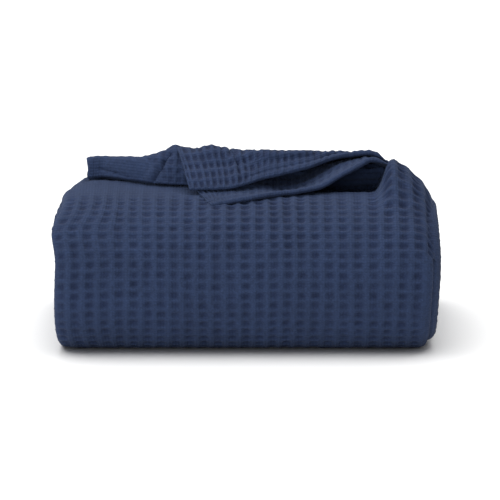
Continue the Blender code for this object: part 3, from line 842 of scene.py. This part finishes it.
def loose_ply(name, rows, settings, cell, amount, full_hem, embedded=None, creases=(),
              edge_curl=0.0):
    """A loose ply with its own size of cell, a rolled hem and its own creases. Amount and full_hem
    say how strongly its cells and its hem show, and embedded how far its right end lies from the
    shoulder's surface, if it goes into the shoulder."""
    made = [flap_line(row) for row in rows]
    at_x = [row.x for row in rows]
    if embedded is not None:
        made.append(embedded_line(rows[-1], embedded))
        at_x.append(EMBEDDED_AT)
    pairs = [measured(line, LINE_STEPS + 1) for line in made]
    lines = np.array([pair[0] for pair in pairs])
    lengths = np.array([pair[1] for pair in pairs])

    # its middle surface: columns across, and rows from the hem back
    wide = at_x[-1] - at_x[0]
    share = (np.arange(int(wide / cell[0]) + 1)[:, None]
             + np.array([0, 0.18, 0.32, 0.5, 0.68, 0.82])).ravel() * cell[0]
    x_places = np.concatenate([[0, 0.6, 1.6], share[(share > 2.4) & (share < wide - 1.5)], [wide]])
    numbers = np.interp(x_places + at_x[0], at_x, np.arange(len(at_x)))
    grid_lines = through(lines, numbers)
    long = np.interp(numbers, np.arange(len(lengths)), lengths)

    nominal = float(np.max(lengths))
    hem_spots = [0, 0.35, 1.1, 2.2, 3.8, 5.4, 6.5, 7.2, 8.0, 9.0]
    cells = cell_rows(nominal, cell[1], 8)
    from_hem = np.concatenate([hem_spots, cells[(cells > 10.5) & (cells < nominal - 1)], [nominal]])
    scaled = from_hem[:, None] / nominal * long[None, :]
    close = from_hem[:, None] + 0 * scaled
    mix = fade(close, 14, 44)
    distance = close * (1 - mix) + scaled * mix      # true millimetres near the hem
    distance = np.minimum(distance, long[None, :])
    part = (1 - distance / long[None, :]) * LINE_STEPS
    index = np.clip(np.floor(part).astype(int), 0, LINE_STEPS - 1)
    t = (part - index)[..., None]
    columns = np.arange(len(x_places))[None, :]
    middle = grid_lines[columns, index] * (1 - t) + grid_lines[columns, index + 1] * t

    # creases, the curled edge and a soft sway
    x_flat = x_places[None, :] + at_x[0] + 0 * distance
    normal = outward(middle, middle - [0, 0, 1.0])
    middle = middle + normal * creased(x_flat, distance, creases)[..., None]
    curl = edge_curl * np.exp(-(x_places / 1.8) ** 2)[None, :] * eased(distance / 12)
    sway = 0.45 * waves(x_flat, distance, 34, 0) * eased((long[None, :] - distance) / 40)
    sway = sway + 0.22 * waves(x_flat, distance, 11, 1)
    middle = middle + normal * (curl + sway)[..., None]
    normal = outward(middle, middle - [0, 0, 1.0])
    # thickness, with the rolled hem
    tucked = fade(x_flat, 130, 139) if embedded is not None else 0.0
    hem = full_hem(x_flat) * (1 - tucked)
    lumps = 0.12 * waves(x_flat, 3 * distance, 19, 2) + 0.13 * waves(x_flat, 2 * distance, 6.5, 4)
    bulk = hem_bulk(distance, hem * (1 + lumps)) * (1 - 0.4 * tucked)
    rim = np.sqrt(np.clip(1 - (1 - np.minimum(x_places, 1.6) / 1.6) ** 2, 0.04, 1))[None, :]
    bulk = bulk * rim
    # the cells' relief, flat on the hem itself
    u = x_flat / cell[0] + 0.12 * waves(x_flat, distance, 60, 3)
    v = distance / cell[1] + 0.10 * waves(x_flat, distance, 70, 4)
    stitched = 1 - hem + hem * eased((distance - HEM_WIDTH) / 3.5)
    edge = eased(distance / 3) * eased(x_places / 5)[None, :]
    strength = edge * (0.4 + 0.6 * stitched) * amount(x_flat, distance) * (1 - tucked)
    deep = hollows(u, v) * strength
    drop = 0.8 * (settings.rib_height + settings.hollow_depth) * deep
    bulge = settings.rib_height * strength - drop
    outer = middle + normal * (bulk + bulge)[..., None]
    inner = middle - normal * bulk[..., None]
    few, some = thinned(len(from_hem), 10, 4), thinned(len(x_places), 3, 3)
    values = np.stack([x_flat, distance, deep], axis=-1)
    inner_values = np.stack([x_flat, distance, 0 * deep + INNER_SHADE], axis=-1)
    return make_sheet(
        name, outer, inner[few][:, some], values, inner_values[few][:, some], settings)


# ---- Materials ------------------------------------------------------------------------------

def linear(code):
    """A linear RGBA colour from an sRGB hex value."""
    parts = [int(code[k:k + 2], 16) / 255 for k in (1, 3, 5)]
    return [c / 12.92 if c <= 0.04045 else ((c + 0.055) / 1.055) ** 2.4 for c in parts] + [1.0]


def node(tree, kind, links=None, **settings):
    """Adds a node with its settings, and links or sets its inputs."""
    made = tree.nodes.new(kind)
    for name, value in settings.items():
        setattr(made, name, value)
    for name, value in (links or {}).items():
        socket = made.inputs[name]
        if isinstance(value, bpy.types.NodeSocket):
            tree.links.new(value, socket)
        else:
            socket.default_value = value
    return made


def noise(tree, place, scale, **settings):
    """A soft uneven pattern at a scale."""
    return node(tree, "ShaderNodeTexNoise",
                {"Vector": place, "Scale": scale, **settings}).outputs["Fac"]


def spread(tree, value, low, high):
    """An uneven value as a factor from low to high."""
    return node(tree, "ShaderNodeMapRange", {
        "Value": value, "From Min": 0.3, "From Max": 0.7, "To Min": low,
        "To Max": high}).outputs["Result"]


def combined(tree, operation, first, *others):
    """Several values added or multiplied."""
    for other in others:
        first = node(tree, "ShaderNodeMath", {0: first, 1: other}, operation=operation).outputs[0]
    return first


def waffle_cotton(settings):
    """Yarn-dyed cotton waffle cloth: matt navy, its ribs paler than its hollows, whose darker
    colour is partly their own dye and partly painted shade for the hollows' occlusion, with a soft
    fuzz that catches light along the folds and a fine thread grain."""
    old = bpy.data.materials.get("WaffleCotton")
    if old:
        return old
    material = bpy.data.materials.new("WaffleCotton")
    material.use_nodes = True
    tree = material.node_tree
    tree.nodes.clear()
    cloth = node(tree, "ShaderNodeUVMap", uv_map="Cloth").outputs["UV"]
    place = node(tree, "ShaderNodeTexCoord").outputs["Object"]
    hollow = node(tree, "ShaderNodeAttribute", attribute_name="hollow").outputs["Fac"]
    drawn = node(tree, "ShaderNodeVectorMath", {0: cloth, 1: (400.0, 700.0, 1.0)},
                 operation="MULTIPLY").outputs["Vector"]
    # dye takes unevenly, over about 4 mm, over some 4 cm, and from yarn to yarn, which is drawn
    # at 2.5 by 1.4 mm along the cloth
    slub = noise(tree, place, 240.0, Detail=3.0, Roughness=0.6)
    shade = combined(
        tree, "MULTIPLY", spread(tree, slub, 0.86, 1.12),
        spread(tree, noise(tree, place, 26.0, Detail=2.0), 0.94, 1.06),
        spread(tree, noise(tree, drawn, 1.0, Detail=1.0), 0.88, 1.12))
    # hollows darker than ribs: partly the weave's own dye, partly painted shade for their occlusion
    ramp = node(tree, "ShaderNodeValToRGB", {"Fac": hollow})
    for stop, position, code in zip(ramp.color_ramp.elements, (0.05, 0.85), (
            settings.rib_colour_hex, settings.hollow_dye_and_shade_hex)):
        stop.position = position
        stop.color = linear(code)
    colour = node(tree, "ShaderNodeVectorMath", {0: ramp.outputs["Color"], "Scale": shade},
                  operation="SCALE")
    # threads really lie 0.7 mm apart; drawn 3 mm apart so that they show
    warp, weft = (
        node(tree, "ShaderNodeTexWave", {"Vector": cloth, "Scale": 105.0, "Distortion": 1.2,
                                         "Detail": 1.0, "Detail Scale": 2.0},
             wave_type="BANDS", bands_direction=way).outputs["Fac"] for way in "XY")
    relief = node(tree, "ShaderNodeBump", {"Height": combined(tree, "ADD", warp, weft, slub),
                                           "Strength": 0.5, "Distance": 0.0004})
    shader = node(tree, "ShaderNodeBsdfPrincipled", {
        "Base Color": colour.outputs["Vector"], "Roughness": 0.92, "Metallic": 0.0,
        "Specular IOR Level": 0.25, "Sheen Weight": 0.06, "Sheen Roughness": 0.5,
        "Sheen Tint": linear("#8C9DC0"), "Normal": relief.outputs["Normal"]})
    node(tree, "ShaderNodeOutputMaterial", {"Surface": shader.outputs["BSDF"]})
    return material


def studio_white(settings):
    """Matt white studio paper: even and pale, it only takes the soft shadow."""
    material = bpy.data.materials.new("StudioPaper")
    material.use_nodes = True
    shader = material.node_tree.nodes["Principled BSDF"]
    grain = node(material.node_tree, "ShaderNodeTexNoise", {"Scale": 900.0, "Detail": 2.0})
    relief = node(material.node_tree, "ShaderNodeBump", {
        "Height": grain.outputs["Fac"], "Strength": 0.05, "Distance": 0.0002})
    material.node_tree.links.new(relief.outputs["Normal"], shader.inputs["Normal"])
    shader.inputs["Base Color"].default_value = linear(settings.floor_colour_hex)
    shader.inputs["Roughness"].default_value = 0.8
    shader.inputs["Specular IOR Level"].default_value = 0.1
    return material


# ---- Settings -------------------------------------------------------------------------------

class BlanketSettings(bpy.types.PropertyGroup):
    """Sizes and colours of the cloth."""

    row_pitch: bpy.props.FloatProperty(
        name="Row pitch", description="Length of a waffle cell, in millimetres",
        default=10.1, min=6.0, max=20.0)
    rib_height: bpy.props.FloatProperty(
        name="Rib height", description="How far the ribs stand proud, in millimetres",
        default=0.7, min=0.0, max=3.0)
    hollow_depth: bpy.props.FloatProperty(
        name="Hollow depth", description="How deep the hollows lie, in millimetres",
        default=2.2, min=0.0, max=4.0)
    rib_colour_hex: bpy.props.StringProperty(
        name="Rib colour", description="sRGB hex colour of the ribs", default="#202D48")
    # the hollows' colour holds painted shade as well as their darker dye
    hollow_dye_and_shade_hex: bpy.props.StringProperty(
        name="Hollow colour", description="sRGB hex colour of the hollows", default="#16213B")


class StudioSettings(bpy.types.PropertyGroup):
    """The floor, the light and the camera."""

    floor_colour_hex: bpy.props.StringProperty(
        name="Floor colour", description="sRGB hex colour of the floor", default="#FAFAFA")
    floor_size: bpy.props.FloatProperty(
        name="Floor size", description="Side of the floor", default=24.0, unit="LENGTH")
    distance: bpy.props.FloatProperty(
        name="Camera distance", description="From the camera to the blanket", default=6.0,
        unit="LENGTH")
    elevation: bpy.props.FloatProperty(
        name="Camera elevation", description="Angle that the camera looks down at",
        default=math.radians(14), subtype="ANGLE")
    key_power: bpy.props.FloatProperty(
        name="Key light", description="Power of the soft light overhead, in watts",
        default=136.0, min=0.0)
    fill_power: bpy.props.FloatProperty(
        name="Fill light", description="Power of the light at the front left, in watts",
        default=58.0, min=0.0)
    front_power: bpy.props.FloatProperty(
        name="Front light", description="Power of the light beside the camera, in watts",
        default=66.0, min=0.0)
    surround: bpy.props.FloatProperty(
        name="Surround", description="Strength of the even light from all round", default=0.33,
        min=0.0)


# ---- Operators ------------------------------------------------------------------------------

def cover_start():
    """The outer level behind the return strip's fold, its corners drawn in toward the fold."""
    height = level_height(COVER)
    return [
        Stop(224.0, height, -176.0, 189.0, 1.0), Stop(219.0, height, -184.0, 191.5, 1.0),
        Stop(211.0, height, -189.5, 193.0, 1.0), Stop(200.0, height, -192.2, 194.0, 1.0),
        Stop(180.0, height, *LEVELS[COVER], 1.0)]


def cover_calm(x, depth, height):
    """How strongly the cover's cells show: pulled flat where the cloth turns over the top, left of
    the shoulder, and deeper along the upper front."""
    on_top = fade(depth, 62, 107) * (height > 80) * (1 - fade(depth, 150, 180))
    pulled = 0.92 * on_top * (1 - fade(x, 112, 134))
    deeper = table(DEEPER_CELLS, "x", x, "share") * fade(height, 95, 120)
    return (1 - pulled) * (1 + deeper)


class BLANKET_OT_cover(bpy.types.Operator):
    """Makes the outer layer, from under the return strip over the top, down the front and under"""

    bl_idname = "blanket.cover"
    bl_label = "Cover"

    def execute(self, context):
        outer_panel(
            "Cover", route((COVER, 0, 3), cover_start(), 185.0), context.scene.blanket, lift=True,
            calm=cover_calm, first=ROW_START, rows=cover_rows)
        return {"FINISHED"}


class BLANKET_OT_layers(bpy.types.Operator):
    """Makes the folds inside the stack, which show at its ends and its back"""

    bl_idname = "blanket.layers"
    bl_label = "Layers"

    def execute(self, context):
        settings = context.scene.blanket
        outer_panel("InnerFold", route((3, 4), 185.0, 190.0), settings, face=-PANEL_PITCH)
        outer_panel("LastFolds", route((5, 2, 1, FREE), 190.0, FREE_END), settings,
                    face=-PANEL_PITCH)
        outer_panel("BackFold", route((4, 5), 190.0, 190.0), settings, rows=all_rows)
        lining("Lining", route((COVER, 0, 3, 4, 5, 2, 1, FREE), cover_start(), FREE_END), settings)
        return {"FINISHED"}


class BLANKET_OT_return_strip(bpy.types.Operator):
    """Makes the end of the strip that comes back over the top"""

    bl_idname = "blanket.return_strip"
    bl_label = "Return strip"

    def execute(self, context):
        settings = context.scene.blanket
        stops = [level_stop(RETURN, depth) for depth in (NOMINAL_FRONT, RETURN_FLAT_TO)]
        stops += fold_stops(RETURN, COVER)
        outer_panel("ReturnTop", stops, settings, side=1, returned=True, rows=all_rows)
        lining("ReturnLining", stops, settings, side=-1, returned=True)
        return {"FINISHED"}


class BLANKET_OT_loose_corner(bpy.types.Operator):
    """Makes the loose plies that are turned over on top, with their hems"""

    bl_idname = "blanket.loose_corner"
    bl_label = "Loose corner"

    def execute(self, context):
        settings = context.scene.blanket
        loose_ply(
            "FrontBand", FRONT_BAND, settings, cell=(8.0, 9.0),
            amount=lambda x, far: 0.12 + 0.70 * fade(x - 0.9 * (24 - far), -104, -96),
            full_hem=lambda x: 0.0 * x,
            creases=(Crease(-94, 2, -78, 32, 2.0, -2.8), Crease(-100, 3, -84, 34, 3.0, 1.6),
                     Crease(-156, 9, -148, 8, 2.0, -0.5), Crease(-148, 8, -134, 5, 1.4, -1.1),
                     Crease(-134, 5, -120, 2, 1.4, -1.0)))
        loose_ply(
            "LowerFlap", LOWER_FLAP, settings, cell=(8.0, 13.5), embedded=-PLY_SPREAD,
            amount=lambda x, far: 0.6 + 0 * x, full_hem=lambda x: 1.0 + 0 * x)
        loose_ply(
            "UpperFlap", UPPER_FLAP, settings, cell=(7.3, 12.5), embedded=PLY_SPREAD,
            amount=lambda x, far: 1.5 - 0.5 * fade(x, -10, 30),
            full_hem=lambda x: 0.2 + 0.8 * fade(x, -16, 10), edge_curl=1.0,
            creases=(Crease(-14, 10, -23, 66, 3.0, 1.5), Crease(-4, 12, -14, 62, 2.6, 1.3),
                     Crease(-9, 14, -18, 60, 2.2, -1.0), Crease(6, 16, 2, 44, 3.0, 0.9)))
        return {"FINISHED"}


LOOK_AT = Vector((0.0030, 0, 0.0813))
LENS = 424.8            # millimetres, so that the bundle fills the frame as photographed
LIGHTS_AIM = Vector((0, 0, 0.08))
FLOOR_AT = -0.0004      # a hair below the cloth, so that their faces don't meet


class BLANKET_OT_studio(bpy.types.Operator):
    """Makes the floor, the soft light and the camera"""

    bl_idname = "blanket.studio"
    bl_label = "Studio"

    def execute(self, context):
        settings = context.scene.blanket_studio
        bpy.ops.object.select_all(action="DESELECT")
        bpy.ops.mesh.primitive_plane_add(size=settings.floor_size, location=(0, 0, FLOOR_AT))
        floor = context.object
        floor.name = "StudioFloor"
        floor.data.materials.append(studio_white(settings))
        world = bpy.data.worlds.new("Studio")
        context.scene.world = world
        world.use_nodes = True
        world.node_tree.nodes["Background"].inputs["Color"].default_value = (1, 1, 1, 1)
        world.node_tree.nodes["Background"].inputs["Strength"].default_value = settings.surround
        # on the floor the two front lights would wash out the soft shadow
        cloth = bpy.data.collections.new("ClothAlone")
        for piece in context.scene.objects:
            if piece.type == "MESH" and piece != floor:
                cloth.objects.link(piece)
        for name, power, size, place, receivers in (
                ("KeyLight", settings.key_power, 4.0, (-0.3, 0.2, 2.6), None),
                ("FillLight", settings.fill_power, 2.0, (-2.9, -2.4, 1.6), cloth),
                ("FrontLight", settings.front_power, 1.2, (-1.2, -4.4, 0.7), cloth)):
            bpy.ops.object.light_add(type="AREA", location=place)
            light = context.object
            light.name = name
            light.data.energy = power
            light.data.size = size
            light.light_linking.receiver_collection = receivers
            aim = LIGHTS_AIM - Vector(place)
            light.rotation_euler = aim.to_track_quat("-Z", "Y").to_euler()
        look = Vector((0, math.cos(settings.elevation), -math.sin(settings.elevation)))
        bpy.ops.object.camera_add(location=LOOK_AT - look * settings.distance)
        camera = context.object
        camera.rotation_euler = look.to_track_quat("-Z", "Y").to_euler()
        camera.data.lens = LENS
        camera.data.sensor_width = 36.0
        camera.data.clip_end = 60.0
        context.scene.camera = camera
        context.scene.view_settings.view_transform = "Standard"
        return {"FINISHED"}


class BLANKET_PT_panel(bpy.types.Panel):
    """Lists the blanket's parts and settings"""

    bl_idname = "BLANKET_PT_panel"
    bl_label = "Folded blanket"
    bl_space_type = "VIEW_3D"
    bl_region_type = "UI"
    bl_category = "Blanket"

    def draw(self, context):
        for group in (context.scene.blanket, context.scene.blanket_studio):
            for name in group.__annotations__:
                self.layout.prop(group, name)
        for operator in STEPS:
            self.layout.operator(operator.bl_idname)


STEPS = (
    BLANKET_OT_cover, BLANKET_OT_layers, BLANKET_OT_return_strip, BLANKET_OT_loose_corner,
    BLANKET_OT_studio,
)
CLASSES = (BlanketSettings, StudioSettings, *STEPS, BLANKET_PT_panel)


def register():
    for item in CLASSES:
        bpy.utils.register_class(item)
    bpy.types.Scene.blanket = bpy.props.PointerProperty(type=BlanketSettings)
    bpy.types.Scene.blanket_studio = bpy.props.PointerProperty(type=StudioSettings)


def unregister():
    del bpy.types.Scene.blanket_studio
    del bpy.types.Scene.blanket
    for item in reversed(CLASSES):
        bpy.utils.unregister_class(item)


def main():
    register()
    bpy.ops.object.select_all(action="DESELECT")
    for operator in STEPS:
        group, name = operator.bl_idname.split(".")
        getattr(getattr(bpy.ops, group), name)()
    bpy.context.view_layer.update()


if __name__ == "__main__":
    main()
